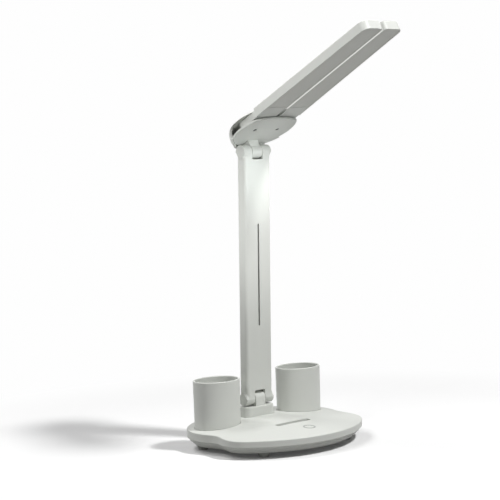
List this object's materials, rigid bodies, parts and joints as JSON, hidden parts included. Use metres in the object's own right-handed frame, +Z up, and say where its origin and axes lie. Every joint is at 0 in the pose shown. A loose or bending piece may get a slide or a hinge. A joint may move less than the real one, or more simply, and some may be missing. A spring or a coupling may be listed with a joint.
{
  "type": "desk lamp",
  "caption": "Folding desk lamp: rounded base with oval pen cups, a phone slot and a touch ring, a flat upright arm on hinges, and a round head with swing-out light bars.",
  "frame": {"origin": "middle of the whole lamp's box in X and Y, on the surface that its feet stand on", "axes": "+Z up; the light bars and the front of the base point to -Y; +X runs across, to the right seen from the front"},
  "size_m": [0.212, 0.2678, 0.489],
  "materials": {
    "shell": "satin",
    "ballast": "blackened",
    "foot_rubber": "matte",
    "screw_steel": "dark plated",
    "shaft_steel": "satin",
    "washer": "matte",
    "board": "lacquered",
    "touch_ring": "satin",
    "diffuser": "frosted",
    "led_strip": "white coated",
    "led": "smooth"
  },
  "bodies": {
    "base": {"base_lower_shell": "shell", "base_top_cover": "shell", "base_ballast_plate": "ballast", "base_feet": "foot_rubber", "base_screws": "screw_steel", "control_board": "board", "touch_ring": "touch_ring", "power_socket": "shaft_steel", "pen_cup_left": "shell", "pen_cup_right": "shell", "cup_screws": "screw_steel", "hinge_pedestal": "shell", "pedestal_screws": "screw_steel"},
    "arm": {"arm_front_shell": "shell", "arm_rear_cover": "shell", "arm_rear_screws": "screw_steel", "lower_hinge_shaft": "shaft_steel", "lower_hinge_washers": "washer", "lower_barrel_caps": "shell", "upper_hinge_shaft": "shaft_steel", "upper_hinge_washers": "washer", "upper_barrel_caps": "shell"},
    "head": {"head_lower_plate": "shell", "head_top_cover": "shell", "head_screws": "screw_steel", "bar_pivot_posts": "shaft_steel", "bar_friction_washers": "washer"},
    "left_bar": {"bar_housing_left": "shell", "bar_diffuser_left": "diffuser", "bar_led_strip_left": "led_strip", "bar_leds_left": "led"},
    "right_bar": {"bar_housing_right": "shell", "bar_diffuser_right": "diffuser", "bar_led_strip_right": "led_strip", "bar_leds_right": "led"}
  },
  "joints": [
    {"name": "lower_hinge", "type": "hinge", "parent": "base", "child": "arm", "pos_m": [0, 0.0971, 0.0511], "axis": [1, 0, 0], "range_deg": [-8, 75]},
    {"name": "upper_hinge", "type": "hinge", "parent": "arm", "child": "head", "pos_m": [0, 0.08752, 0.34955], "axis": [1, 0, 0], "range_deg": [-30, 119]},
    {"name": "left_bar_swing", "type": "hinge", "parent": "head", "child": "left_bar", "pos_m": [-0.0178, 0.06802, 0.38408], "axis": [0, -0.4518, -0.8921], "range_deg": [0, 90]},
    {"name": "right_bar_swing", "type": "hinge", "parent": "head", "child": "right_bar", "pos_m": [0.0178, 0.06802, 0.38408], "axis": [0, 0.4518, 0.8921], "range_deg": [0, 90]}
  ]
}
